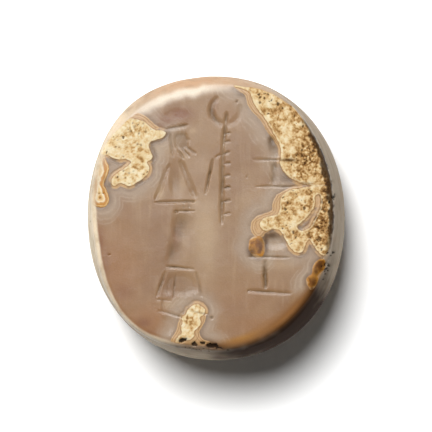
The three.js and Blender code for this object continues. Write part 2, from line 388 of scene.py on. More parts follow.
RIMS = [
    [
        (118, 117), (126, 112.5), (138, 112), (147, 116), (153, 123), (161, 128), (152, 131),
        (143, 124), (130, 121),
    ],
    [
        (232, 86), (240, 91.5), (245.5, 96), (247, 103), (251, 111), (259, 118.5), (265, 128),
        (271, 138), (277, 147), (283, 150), (280, 130), (260, 105), (250, 88), (238, 82),
    ],
    [
        (300, 188), (290, 189), (281, 192), (275, 197), (272, 204), (273, 211), (264, 213.5),
        (256, 216.5), (251, 222), (250.5, 229), (255, 238), (263, 238), (266, 232), (285, 225),
        (290, 200),
    ],
    [
        (187, 311), (181, 316), (178, 323), (176.5, 331), (171, 338), (170, 344), (180, 348),
        (198, 350), (216, 350), (214, 342), (202, 339), (199, 331), (205, 322), (208, 312), (200, 305),
    ],
]
AMBERS = [
    [
        (250, 238), (248, 245), (249, 251), (253, 256), (259, 258.5), (264, 256), (266, 247), (264, 239),
        (258, 235),
    ],
    [
        (324, 258), (316, 261), (311.5, 268), (312, 274.5), (307, 276.5), (305.5, 282), (308, 287),
        (311, 290.5), (315, 288), (320, 276), (328, 266),
    ],
]

# A golden vein down the left edge that ends in a bulb, as (pixel, radius in pixels) along its middle
VEIN = [((98, 155), 7.0), ((101, 170), 8.5), ((98.5, 183), 6.0), ((99.5, 190), 7.5), ((100.5, 197.5), 9.5)]

HOLES = [
    [
        (319, 194), (314, 197), (316, 204), (313, 211), (308, 217), (302, 222.5), (297, 225.5),
        (297.5, 229.5), (303, 231.5), (310, 228), (314, 220), (318.5, 212), (321, 203),
    ],
]

# Soft patches, as (middle, half sizes, strength). Inclusions are granular in some places and calm in others
GRANULAR = [
    ((308, 155), (12, 24), 1.0), ((319, 222), (9, 20), 0.9), ((300, 118), (9, 11), 0.6),
    ((268, 112), (10, 8), 0.2), ((325, 190), (6, 20), 1.0), ((135, 130), (12, 9), 0.5),
]
CALM = [
    ((289, 133), (5, 9), 1.0), ((293, 148), (5, 5), 0.8), ((286, 166), (6, 4), 0.8),
    ((160, 134), (7, 3), 0.9), ((115, 150), (7, 5), 0.8), ((144, 154), (7, 5), 0.6),
    ((268, 224), (10, 4), 0.5), ((293, 224), (8, 4), 0.6), ((241, 87), (9, 3), 0.9),
    ((298, 247), (5, 5), 0.6), ((262, 102), (9, 7), 0.9),
]
TANS = [
    ((144, 155), (8, 7), 1.3), ((283, 201), (4, 8), 0.7), ((135, 166), (8, 3), 0.7),
    ((300, 186), (14, 4), 0.6), ((325, 215), (5, 25), 0.6), ((312, 140), (8, 14), 0.5),
    ((255, 92), (8, 3), 0.1), ((309, 236), (5, 6), 0.5), ((192, 324), (5, 14), 1.0),
    ((200, 309), (4, 4), 0.5),
]
BROWNS = [
    ((252, 252), (5, 4), 0.8), ((260, 249), (4, 4), 0.5), ((262, 242), (3, 6), 0.6),
    ((266, 244), (2.5, 10), 0.8), ((320, 266), (3, 5), 0.85), ((316, 272), (3, 4), 0.85),
    ((313.5, 283), (3, 5), 0.85), ((312, 289), (2, 3), 0.9), ((289, 160.5), (7, 1.8), 0.9),
    ((105.5, 181), (1.5, 5), 0.6), ((306, 184), (8, 1.5), 0.5), ((184, 339), (5, 2), 0.8),
    ((305, 123), (3, 3), 0.6), ((188, 346), (19, 5), 0.6), ((213, 346), (10, 4), 0.9),
]
SHADES = [
    ((272, 236), (7, 4), 0.9), ((271, 143), (4, 7), 0.7), ((286, 179), (9, 4), 0.5),
    ((151, 144), (3, 3), 0.6), ((124, 161), (5, 2.5), 0.5), ((110, 185), (2.5, 3), 0.7),
    ((309, 246), (3, 5), 0.6), ((243, 95), (7, 3), 0.5), ((131, 161), (2, 2), 0.8),
    ((150, 162.5), (4, 2), 0.6), ((298, 228), (5, 3), 0.4),
]
# Reddish-brown tints, and painted shade in the robe's hollow and over the headdress
RUST_TINTS_AND_SHADES = [
    ((181, 114), (12, 7), 1.2), ((168, 119), (10, 6), 0.9), ((161, 125), (6, 3), 0.7),
    ((101, 243), (4, 17), 0.8), ((124, 291), (9, 8), 0.55), ((144, 322), (8, 5), 0.9),
    ((106, 262), (4, 14), 0.6), ((150, 331), (8, 4), 0.5), ((309, 214), (5, 14), 0.6),
    ((176, 237), (3.5, 15), 0.6), ((228, 112), (10, 9), 0.35), ((214, 110), (5, 10), 0.4),
]
# Lighter patches: partly the stone's paler tone, partly painted highlights on the lit slopes and lips of
# the cuts
LIGHTER_TONES_AND_HIGHLIGHTS = [
    ((206, 232), (14, 42), 0.95), ((188, 243), (7, 14), 0.4), ((247, 200), (9, 9), 0.4),
    ((160, 150), (8, 8), 0.7), ((225, 110), (14, 14), 0.4), ((277, 245), (8, 6), 0.8),
    ((170, 325), (7, 10), 0.25), ((180, 301), (16, 3), 0.6), ((195, 170), (18, 18), 0.35),
    ((280, 265), (14, 5), 0.5), ((161, 193), (4, 7), 0.8), ((197, 203), (7, 5), 0.6),
    ((170, 304), (8, 4), 0.8), ((186, 157), (5, 3), 0.7), ((193, 131), (4, 3), 0.8),
    ((183, 182), (4, 12), 0.5),
]
WARMTHS = [
    ((118, 270), (26, 50), 0.8), ((150, 320), (32, 20), 0.9), ((100, 250), (12, 40), 0.7),
    ((260, 325), (40, 14), 0.7), ((140, 114), (16, 5), 0.9), ((240, 300), (50, 30), 0.35),
]


# Stripes of colour along the edge of the face: (strength, angle, spread), place outward in mm, half width
# A brown stain along the lower right edge, darkened further as painted shade where the edge turns away from
# the light
STAINS_AND_SHADE = ([(1.0, 306, 0.36), (0.5, 276, 0.2)], 0.1, 0.40)
GOLDS = ([(0.85, 284, 0.14)], -0.1, 0.3)
# A dark band where the inclusion on the right turns down into the wall: painted shade
RIGHT_EDGE_SHADES = ([(1.0, 0, 0.34), (1.0, 30, 0.26)], 0.25, 0.30)
# The ridge stripe is a painted highlight along the worn top edge of the face
RIDGE_HIGHLIGHTS = ([(0.9, 114, 0.33), (0.7, 97, 0.2)], -0.02, 0.40)

# How far the inclusions reach over the edge of the face: everywhere, and further in some places
CRUST_OVERHANG = 0.05
CRUST_OVERHANGS = [(0.30, 20, 1.1), (0.5, 152, 0.22)]

# How softly the face turns into the walls: half the width of the change, in mm
WALL_BLEND = 0.10
WALL_BLENDS = [(0.40, 112, 0.6), (0.30, 303, 0.5), (0.15, 20, 0.5)]

# Walls that are browner or paler than the rest. The brown at the lower right is painted shade on the side
# away from the light, with a brown tint
SHADED_BROWN_WALLS = [(1.1, 294, 0.55), (0.6, 318, 0.24)]
# The pale walls on the left are partly painted highlight on the side that faces the light
PALE_AND_HIGHLIT_WALLS = [(1.0, 185, 0.8), (0.9, 140, 0.25)]
PEACH_WALLS = [(1.0, 98, 0.5)]


def nearest_of(outlines, x, y):
    """Signed distance to the nearest of several outlines."""
    return np.min([distance_to(x, y, softened(on_face(outline))) for outline in outlines], axis=0)


def vein_distance(x, y):
    """Signed distance to the vein's border, negative inside, in mm."""
    nearest = np.full(x.shape, 1e9)
    for (start, start_radius), (end, end_radius) in zip(VEIN, VEIN[1:]):
        (x1, y1), (x2, y2) = on_face(start), on_face(end)
        run_x, run_y = x2 - x1, y2 - y1
        along = np.clip(((x - x1) * run_x + (y - y1) * run_y) / (run_x**2 + run_y**2), 0, 1)
        radius = (start_radius + along * (end_radius - start_radius)) / PIXELS_PER_MM
        nearest = np.minimum(nearest, np.hypot(x - x1 - along * run_x, y - y1 - along * run_y) - radius)
    return nearest


def patches(places, x, y):
    """The strength of soft round patches of tone at each point."""
    total = np.zeros_like(x)
    for pixel, (half_x, half_y), strength in places:
        middle_x, middle_y = on_face(pixel)
        across = (x - middle_x) * PIXELS_PER_MM / half_x
        up = (y - middle_y) * PIXELS_PER_MM / half_y
        total = np.maximum(total, strength * np.exp(-(across**2) - up**2))
    return total


# The finer relief of the surface, in mm: sizes of its features, then their heights and depths
PEBBLE_SIZE = 0.38
GRAIN_SIZE = 0.16
LUMP_SIZE = 0.8
PORE_SIZES = (0.36, 0.22)
PORE_DEPTH = 0.08
SEAM_DEPTH = 0.006
PEBBLE_HEIGHT = 0.03
SWELL_HEIGHT = 0.014
DIMPLE_HEIGHT = 0.004

# A pit this deep is as dark as pits get: pits are painted near black, partly as painted shade in the hollow
DARK_PIT_DEPTH = 0.09


# The mesh of the stone

def face_grid():
    """Polar places of the face's points, and their quads: a square grid pressed into a disc."""
    count = FACE_HALF_GRID
    steps = np.arange(-count, count + 1)
    i, j = np.meshgrid(steps, steps)
    ring = np.maximum(np.abs(i), np.abs(j))
    wide = np.abs(i) >= np.abs(j)
    base_i, base_j = np.where(i == 0, 1, i), np.where(j == 0, 1, j)
    angle = np.where(wide, np.pi / 4 * j / base_i, np.pi / 2 - np.pi / 4 * i / base_j)
    backward = np.where(wide, i < 0, j < 0)
    angle = angle + np.where(backward, np.pi, 0)
    side = 2 * count + 1
    index = np.arange(side * side).reshape(side, side)
    corners = [index[:-1, :-1], index[:-1, 1:], index[1:, 1:], index[1:, :-1]]
    quads = np.stack(corners, axis=-1).reshape(-1, 4)
    edge = np.concatenate([index[0, :-1], index[:-1, -1], index[-1, :0:-1], index[:0:-1, 0]])
    return ring.ravel() / count, angle.ravel(), quads, edge


def wall_ring(angle, share):
    """Radius and height of a ring of the wall, from the face's edge at share 0 to the girdle at share 1."""
    width, radius = wall_width(angle), edge_radius(angle)
    top = THICKNESS - face_fall(0.0, angle)
    lean = 2 * (width - radius) / (top - radius - GIRDLE_HEIGHT)
    if share <= EDGE_SHARE:
        turn = share / EDGE_SHARE * (math.pi / 2 - lean)
        return face_radius(angle) + radius * np.sin(turn), top - radius * (1 - np.cos(turn))
    left = (1 - share) / (1 - EDGE_SHARE)
    inset = (width - radius * np.cos(lean)) * left**2
    foot = top - radius * (1 - np.sin(lean))
    return girdle_radius(angle) - inset, GIRDLE_HEIGHT + (foot - GIRDLE_HEIGHT) * left


def back_ring(angle, share):
    """Radius and height of a ring of the back, from the girdle at share 0 to the underside at share 1."""
    turn = (1 - share) * math.pi / 2
    shrink = UNDERSIDE_SHARE + (1 - UNDERSIDE_SHARE) * math.sin(turn)
    height = GIRDLE_HEIGHT * (1 - math.cos(turn))
    return girdle_radius(angle) * shrink, np.full_like(angle, height)


def stone_points():
    """Points and faces of the uncut stone, with each point's place on the face unrolled over the walls."""
    share, angle, quads, edge = face_grid()
    radius = share * face_radius(angle)
    height = THICKNESS - face_fall(face_radius(angle) - radius, angle)
    points = [np.stack([radius * np.cos(angle), radius * np.sin(angle), height], axis=1)]
    unrolled = [points[0][:, :2]]
    faces = quads.tolist()
    upper = edge
    ring_angle = angle[edge]
    last = points[0][edge]
    reach = radius[edge]
    count = len(angle)
    for ring in range(1, WALL_RINGS + BACK_RINGS + 1):
        if ring in (1, WALL_RINGS):
            ring_angle, last, reach = ring_angle[::2], last[::2], reach[::2]
        if ring <= WALL_RINGS:
            level, height = wall_ring(ring_angle, ring / WALL_RINGS)
        else:
            level, height = back_ring(ring_angle, (ring - WALL_RINGS) / BACK_RINGS)
        made = np.stack([level * np.cos(ring_angle), level * np.sin(ring_angle), height], axis=1)
        reach = reach + np.linalg.norm(made - last, axis=1)
        last = made
        points.append(made)
        unrolled.append(np.stack([reach * np.cos(ring_angle), reach * np.sin(ring_angle)], axis=1))
        lower = np.arange(count, count + len(made))
        faces += band(upper, lower)
        upper = lower
        count += len(made)
    points.append(np.zeros((1, 3)))
    unrolled.append(np.zeros((1, 2)) + 99)
    faces += [[int(a), count, int(b)] for a, b in zip(upper, np.roll(upper, -1))]
    return np.concatenate(points), np.concatenate(unrolled), faces, len(angle)


def band(upper, lower):
    """Faces between two rings, the lower one with as many points as the upper one or with half as many."""
    after = np.roll(lower, -1)
    if len(upper) == len(lower):
        return np.stack([upper, lower, after, np.roll(upper, -1)], axis=1).tolist()
    first, middle, last = upper[::2], upper[1::2], np.roll(upper, -2)[::2]
    left = np.stack([first, lower, middle], axis=1)
    below = np.stack([middle, lower, after], axis=1)
    right = np.stack([middle, after, last], axis=1)
    return np.concatenate([left, below, right]).tolist()


def ripple(points, size, octaves):
    """Smooth noise at each point, about -1 to 1, with features of that size in millimetres."""
    return np.array([noise.fractal(Vector(p) / size, 1.0, 2.0, octaves) for p in points])


def pores(flat, size, amount):
    """Pores of about that size, 1 at their deepest, in a share of the places that the amount gives."""
    depth = np.zeros(len(flat))
    for i, place in enumerate(flat):
        distances, middles = noise.voronoi(Vector(place) / size)
        chance = (noise.cell(middles[0] * 7.31) + 1) / 2
        if chance < amount[i]:
            depth[i] = smooth(0.45, 0.15, distances[0])
    return depth


def lumps(flat, size):
    """Rounded lumps of about that size with seams between them, about -0.2 to 0.35."""
    height = np.zeros(len(flat))
    for i, place in enumerate(flat):
        distances, _ = noise.voronoi(Vector(place) / size)
        seam = smooth(0.16, 0.0, distances[1] - distances[0])
        height[i] = 0.35 * smooth(0.6, 0.1, distances[0]) - 0.2 * seam
    return height


def crust_surface(flat, x, y, crust):
    """The pebbly surface of the inclusions, about -1 to 1, and the pores in it."""
    inside = crust < 0.1
    relief, holes = np.zeros(len(flat)), np.zeros(len(flat))
    place = flat[inside]
    granular = patches(GRANULAR, x[inside], y[inside])
    calm = patches(CALM, x[inside], y[inside])
    pebbles = ripple(place, PEBBLE_SIZE, 3)
    grains = ripple(place + 11, GRAIN_SIZE, 2)
    relief[inside] = (0.5 * pebbles + 0.7 * grains * (0.5 + 0.6 * granular)) * (1 - 0.75 * calm)
    relief[inside] += 0.2 * calm - 0.36 * granular - 0.3 * patches(TANS, x[inside], y[inside])
    relief[inside] += np.where(x[inside] < 0, 0.36, 0.12)
    across, up = ripple(place + 3, 0.3, 2), ripple(place + 5, 0.3, 2)
    warp = 0.08 * np.column_stack([across, up, np.zeros(len(place))])
    relief[inside] += lumps(place + 3 * warp, LUMP_SIZE) * (1 - 0.5 * granular) - 0.08
    cluster = np.clip(0.12 + 0.5 * ripple(place + 23, 1.6, 2), 0.02, 0.6) * (1 - 0.8 * calm)
    coarse = pores(place + 1.5 * warp, PORE_SIZES[0], cluster)
    fine = pores(place + 1.5 * warp, PORE_SIZES[1], 0.7 * cluster + 0.15 * granular)
    holes[inside] = np.maximum(coarse, 0.7 * fine) * smooth(-0.04, -0.16, crust[inside])
    return relief, holes


def edge_pits(x, y):
    depth = np.zeros_like(x)
    for pixel, (half_x, half_y), tilt, deep in EDGE_PITS:
        middle_x, middle_y = on_face(pixel)
        turn = math.radians(tilt)
        along = (x - middle_x) * math.cos(turn) + (y - middle_y) * math.sin(turn)
        across = (y - middle_y) * math.cos(turn) - (x - middle_x) * math.sin(turn)
        off = (along / half_x) ** 2 + (across / half_y) ** 2
        depth = np.maximum(depth, deep * np.sqrt(np.clip(1 - off, 0, None)))
    return depth


def wall_pits(rng, x, y):
    """Cracks and pits in the walls, in places unrolled from the face."""
    depth = np.zeros_like(x)
    for pixel, spread, number, size in WALL_PITS:
        for _ in range(number):
            middle_x, middle_y = on_face(rng.normal(pixel, spread))
            radius = size * rng.uniform(0.5, 1.2)
            slim = rng.uniform(0.35, 0.9)
            off = ((x - middle_x) / (radius * slim)) ** 2 + ((y - middle_y) / radius) ** 2
            depth = np.maximum(depth, np.clip(1 - off, 0, None) * radius * 0.9)
    return depth


def inclusions(x, y):
    """Signed distance to the border of the cream inclusions, with the hole in one of them."""
    return np.maximum(nearest_of(CORES, x, y), -nearest_of(HOLES, x, y))


def make_gem():
    points, unrolled, faces, face_count = stone_points()
    rng = np.random.default_rng(SEED)
    x, y = unrolled[:, 0], unrolled[:, 1]
    on_top = np.arange(len(points)) < face_count

    flat = np.column_stack([unrolled, points[:, 2] * 0.5])
    wander = ripple(flat, 1.3, 2)
    waver = ripple(flat + 40, 1.3, 2)
    jag, jog = ripple(flat + 15, 0.45, 2), ripple(flat + 55, 0.45, 2)
    warped_x, warped_y = x + 0.05 * wander + 0.05 * jag, y + 0.05 * waver + 0.05 * jog
    border = inclusions(warped_x, warped_y)
    # How much the border faces away from the light, which makes the painted shade beside it stronger
    away_from_light = np.clip((inclusions(warped_x + 0.1, warped_y - 0.1) - border) / 0.14, -1, 1)
    angle = np.arctan2(y, x)
    edge_off = np.hypot(x, y) - face_radius(angle)
    ends_at = CRUST_OVERHANG + swelling(CRUST_OVERHANGS, angle)
    core = np.maximum(border, edge_off - ends_at + 0.15 * wander)
    rim = nearest_of(RIMS, warped_x, warped_y)
    amber = nearest_of(AMBERS, warped_x, warped_y)
    vein = vein_distance(warped_x, warped_y)
    crust = np.min([border - 0.18, rim, amber, vein], axis=0)
    blend = WALL_BLEND + swelling(WALL_BLENDS, angle)

    depth, dirt_and_shade = engraving(x + 0.03 * wander, y + 0.03 * waver, ripple(flat + 80, 0.8, 3))
    depth, dirt_and_shade = depth * on_top, dirt_and_shade * on_top
    relief, holes = crust_surface(flat, x, y, core)
    ragged_x, ragged_y = x + 0.15 * ripple(flat, 0.5, 2), y + 0.15 * ripple(flat + 7, 0.5, 2)
    pits = np.maximum(edge_pits(ragged_x, ragged_y), wall_pits(rng, ragged_x, ragged_y))
    chalky = smooth(0.05, -0.1, core)
    seam = np.exp(-(((crust - 0.02) / 0.08) ** 2))
    swell = ripple(flat, 4.5, 2)
    dimple = ripple(flat + 60, 1.1, 2)

    inward = depth + pits + PORE_DEPTH * holes + SEAM_DEPTH * seam
    inward = inward - PEBBLE_HEIGHT * relief * chalky - SWELL_HEIGHT * swell - DIMPLE_HEIGHT * dimple
    normals = outward_normals(points, faces)
    points = points - normals * inward[:, None]
    points[:, 2] = np.maximum(points[:, 2], 0)

    mesh = bpy.data.meshes.new("engraved_gem_stone")
    mesh.from_pydata((points * MM).tolist(), [], faces)
    mesh.polygons.foreach_set("use_smooth", [True] * len(mesh.polygons))
    tones = {
        "core": core,
        "rim": rim,
        "amber": amber,
        "vein": vein,
        "crust": crust,
        "border": border,
        "away_from_light": away_from_light,
        "relief": 0.5 + 0.5 * relief,
        "dirt_and_shade": dirt_and_shade,
        "pore": holes,
        "pit": np.minimum(pits / DARK_PIT_DEPTH, 1),
        "edge": edge_off,
        "wall": smooth(-blend, blend, edge_off + 0.04 * wander),
        "shade": patches(SHADES, x, y),
        "rust_tint_and_shade": patches(RUST_TINTS_AND_SHADES, x, y),
        "lighter_tone_and_highlight": patches(LIGHTER_TONES_AND_HIGHLIGHTS, x, y),
        "warm": patches(WARMTHS, x, y),
        "brown": patches(BROWNS, x, y),
        "stain_and_shade": along_edge(STAINS_AND_SHADE, edge_off, angle),
        "gold": along_edge(GOLDS, edge_off, angle),
        "ridge_highlight": along_edge(RIDGE_HIGHLIGHTS, edge_off + 0.12 * ripple(flat + 71, 0.7, 3), angle),
        "right_edge_shade": along_edge(RIGHT_EDGE_SHADES, edge_off + 0.25 * ripple(flat + 31, 0.45, 2), angle),
        "brown_wall_shade": smooth(0.1, 1.2, swelling(SHADED_BROWN_WALLS, angle) + 0.4 * swell + 0.2 * wander)
        * smooth(11, 5, edge_off + 2 * swell),
        "pale_wall_and_highlight": np.clip(swelling(PALE_AND_HIGHLIT_WALLS, angle), 0, 1),
        "peach_wall": np.clip(swelling(PEACH_WALLS, angle), 0, 1),
    }
    for name, values in tones.items():
        mesh.attributes.new(name, "FLOAT", "POINT").data.foreach_set("value", values.astype(np.float32))
    gem = bpy.data.objects.new("engraved_gem_stone", mesh)
    bpy.context.scene.collection.objects.link(gem)
    return gem


def outward_normals(points, faces):
    """Smooth normals of the uncut stone."""
    mesh = bpy.data.meshes.new("uncut")
    mesh.from_pydata(points.tolist(), [], faces)
    normals = np.zeros(len(points) * 3, np.float32)
    mesh.vertices.foreach_get("normal", normals)
    bpy.data.meshes.remove(mesh)
    return normals.reshape(-1, 3).astype(float)


def along_edge(places, edge_off, angle):
    """A stripe along the edge of the face, from its strengths, its place outward and its half width."""
    strengths, at, half = places
    return np.clip(swelling(strengths, angle), 0, 1) * np.exp(-(((edge_off - at) / half) ** 2))


# Materials

# How brightly the softbox lights a level surface: a white one shows this many times full white. Its
# reflection adds a little white on top
LIGHT_LEVEL = 1.84
SHEEN = 0.02


def tone(red, green, blue):
    """A colour given as it shows on screen when lit, 0 to 255, as the linear values that a shader takes."""
    values = np.array([red, green, blue]) / 255
    linear = np.where(values <= 0.04045, values / 12.92, ((values + 0.055) / 1.055) ** 2.4)
    matt = max(1 - SHEEN / linear.mean(), 0.5)
    return (*(linear * matt / LIGHT_LEVEL).tolist(), 1.0)


class Paint:
    """Short ways to add nodes to one material."""

    def __init__(self, name):
        self.material = bpy.data.materials.new(name)
        self.material.use_nodes = True
        self.tree = self.material.node_tree
        self.surface = self.tree.nodes["Principled BSDF"]
        place = self.tree.nodes.new("ShaderNodeTexCoord").outputs["Object"]
        in_mm = self.tree.nodes.new("ShaderNodeVectorMath")
        in_mm.operation = "SCALE"
        in_mm.inputs["Scale"].default_value = 1 / MM
        self.tree.links.new(place, in_mm.inputs[0])
        self.place = in_mm.outputs[0]

    def feed(self, socket, value):
        if isinstance(value, bpy.types.NodeSocket):
            self.tree.links.new(value, socket)
        else:
            socket.default_value = value

    def attribute(self, name):
        node = self.tree.nodes.new("ShaderNodeAttribute")
        node.attribute_name = name
        return node.outputs["Fac"]

    def noise(self, scale, detail=2.0, roughness=0.5, stretch=(1, 1, 1)):
        node = self.tree.nodes.new("ShaderNodeTexNoise")
        node.inputs["Scale"].default_value = scale
        node.inputs["Detail"].default_value = detail
        node.inputs["Roughness"].default_value = roughness
        place = self.place
        if stretch != (1, 1, 1):
            shape = self.tree.nodes.new("ShaderNodeVectorMath")
            shape.operation = "MULTIPLY"
            shape.inputs[1].default_value = stretch
            self.tree.links.new(place, shape.inputs[0])
            place = shape.outputs[0]
        self.tree.links.new(place, node.inputs["Vector"])
        return node.outputs["Fac"]

    def sums(self, operation, first, second=0.0):
        node = self.tree.nodes.new("ShaderNodeMath")
        node.operation = operation
        self.feed(node.inputs[0], first)
        self.feed(node.inputs[1], second)
        return node.outputs[0]

    def step(self, value, low, high, top=1.0):
        """0 where the value is at low, top where it is at high, and soft between."""
        node = self.tree.nodes.new("ShaderNodeMapRange")
        node.interpolation_type = "SMOOTHSTEP"
        self.feed(node.inputs["Value"], value)
        node.inputs["From Min"].default_value = low
        node.inputs["From Max"].default_value = high
        node.inputs["To Max"].default_value = top
        return node.outputs["Result"]

    def line(self, value, at, half, top=1.0):
        """A soft line where the value is near one number."""
        off = self.sums("ABSOLUTE", self.sums("SUBTRACT", value, at))
        return self.step(off, half, 0.0, top)

    def ramp(self, value, stops):
        """Colours that change with the value, from stops as (value, colour)."""
        node = self.tree.nodes.new("ShaderNodeValToRGB")
        points = node.color_ramp.elements
        points[0].position, points[1].position = stops[0][0], stops[-1][0]
        points[0].color, points[1].color = stops[0][1], stops[-1][1]
        for position, colour in stops[1:-1]:
            points.new(position).color = colour
        self.feed(node.inputs["Fac"], value)
        return node.outputs["Color"]

    def mix(self, factor, under, over, blend="MIX"):
        node = self.tree.nodes.new("ShaderNodeMix")
        node.data_type = "RGBA"
        node.blend_type = blend
        self.feed(node.inputs[0], factor)
        self.feed(node.inputs[6], under)
        self.feed(node.inputs[7], over)
        return node.outputs[2]


STONE = tone(173, 139, 105)
STONE_WARM = tone(172, 124, 82)
STONE_PALE_AND_HIGHLIGHT = tone(197, 168, 134)
STONE_MAUVE = tone(163, 127, 96)
RUST_TINT_AND_SHADE = tone(152, 104, 72)
HALO = tone(187, 166, 144)
BAND_LIGHT = tone(202, 180, 154)
SHADE = tone(118, 92, 68)
BORDER_SHADE = tone(118, 90, 66)
RIM = tone(216, 176, 126)
RIM_LINE = tone(154, 108, 58)
CREAM_PALE = tone(255, 238, 200)
CREAM = tone(240, 208, 154)
OCHRE = tone(208, 166, 108)
OCHRE_DEEP = tone(164, 118, 64)
UMBER = tone(104, 66, 28)
AMBER_PALE = tone(240, 204, 142)
AMBER = tone(206, 144, 56)
AMBER_DEEP = tone(140, 84, 24)
WALL = tone(208, 190, 166)
WALL_PALE_AND_HIGHLIGHT = tone(255, 236, 206)
WALL_PEACH = tone(220, 180, 144)
WALL_BROWN_SHADE = tone(76, 44, 18)
RIDGE_HIGHLIGHT = tone(255, 240, 216)
STAIN_AND_SHADE = tone(166, 116, 68)
GOLD = tone(200, 146, 74)
RIGHT_EDGE_SHADE = tone(84, 54, 24)
DIRT_AND_SHADE = tone(118, 88, 50)
PORE = tone(112, 78, 42)
PIT_AND_SHADE = tone(44, 28, 16)
WHITE = (1.0, 1.0, 1.0, 1.0)
GREY = (0.5, 0.5, 0.5, 1.0)


def clear_stone(paint, crust, on_face_only):
    """Clouded stone, lighter and warmer in patches, with painted highlights and painted shade, and bands
    round the inclusions.
    """
    colour = paint.mix(paint.step(paint.noise(0.35, 3.0), 0.35, 0.7), STONE, STONE_MAUVE)
    streaks = paint.noise(1.0, 2.0, 0.5, (2.0, 0.3, 1.0))
    colour = paint.mix(paint.step(streaks, 0.5, 0.8, 0.35), colour, STONE_PALE_AND_HIGHLIGHT)
    colour = paint.mix(paint.attribute("warm"), colour, STONE_WARM)
    # Lighter patches, partly paler stone and partly painted highlight on the lit sides of the cuts
    colour = paint.mix(paint.attribute("lighter_tone_and_highlight"), colour, STONE_PALE_AND_HIGHLIGHT)

    drift = paint.sums("MULTIPLY", paint.sums("SUBTRACT", paint.noise(0.55, 2.0), 0.5), 0.9)
    depth = paint.sums("ADD", crust, drift)
    halo = paint.sums("MULTIPLY", paint.step(depth, 1.6, 0.4, 0.65), on_face_only)
    colour = paint.mix(halo, colour, HALO)
    broken = paint.sums("MULTIPLY", on_face_only, paint.step(paint.noise(0.7, 2.0), 0.42, 0.6))
    for at, half, strength in ((0.5, 0.14, 0.4), (0.86, 0.12, 0.35), (1.2, 0.1, 0.3)):
        ring = paint.sums("MULTIPLY", paint.line(depth, at, half, strength), broken)
        colour = paint.mix(ring, colour, BAND_LIGHT)
    # Reddish-brown tints, some of them painted shade in the hollows of the figure
    colour = paint.mix(paint.attribute("rust_tint_and_shade"), colour, RUST_TINT_AND_SHADE)
    return paint.mix(paint.attribute("shade"), colour, SHADE)


def wall_stone(paint):
    """Walls: cream on the left, partly painted highlight, peach at the top, grey on the right, brown
    painted shade at the lower right.
    """
    # Pale cream on the left, partly painted highlight
    walls = paint.mix(paint.attribute("pale_wall_and_highlight"), WALL, WALL_PALE_AND_HIGHLIGHT)
    walls = paint.mix(paint.attribute("peach_wall"), walls, WALL_PEACH)
    layers = paint.noise(1.2, 4.0, 0.6, (0.5, 0.5, 1.2))
    walls = paint.mix(paint.step(layers, 0.42, 0.7, 0.4), walls, STONE)
    # Dark brown at the lower right: painted shade on the wall that faces away from the light
    return paint.mix(paint.attribute("brown_wall_shade"), walls, WALL_BROWN_SHADE)


def amber_glass(paint, amber):
    """Glassy inclusions: tan at their border, then golden, with brown clouds."""
    drift = paint.sums("MULTIPLY", paint.sums("SUBTRACT", paint.noise(1.6, 4.0), 0.5), 0.9)
    depth = paint.sums("MULTIPLY", paint.sums("ADD", amber, drift), -1.2)
    colour = paint.ramp(depth, [(0.0, RIM), (0.08, AMBER), (1.0, AMBER)])
    clouded = paint.step(paint.noise(1.3, 3.0), 0.34, 0.62)
    cloud = paint.sums("MULTIPLY", clouded, paint.step(depth, 0.1, 0.3))
    return paint.mix(cloud, colour, AMBER_DEEP)


def vein_rings(paint, vein):
    """The vein, in rings of gold and cream that follow its border."""
    drift = paint.sums("MULTIPLY", paint.sums("SUBTRACT", paint.noise(3.0, 3.0), 0.5), 0.25)
    depth = paint.sums("MULTIPLY", paint.sums("ADD", vein, drift), -1.2)
    return paint.ramp(
        depth,
        [
            (0.0, OCHRE_DEEP), (0.06, AMBER), (0.14, AMBER_PALE), (0.24, AMBER), (0.42, AMBER),
            (0.55, CREAM_PALE), (0.7, AMBER_PALE), (0.9, AMBER),
        ],
    )


def chalk(paint, border):
    """Cream inclusions, brown in their hollows, with a pale line along their border."""
    fine = paint.sums("MULTIPLY", paint.sums("SUBTRACT", paint.noise(6.5, 3.0, 0.6), 0.5), 0.4)
    height = paint.sums("ADD", paint.attribute("relief"), fine)
    colour = paint.ramp(
        height,
        [(0.1, UMBER), (0.27, OCHRE_DEEP), (0.43, OCHRE), (0.57, CREAM), (0.8, CREAM_PALE)],
    )
    return paint.mix(paint.line(border, -0.11, 0.09, 0.45), colour, CREAM_PALE)


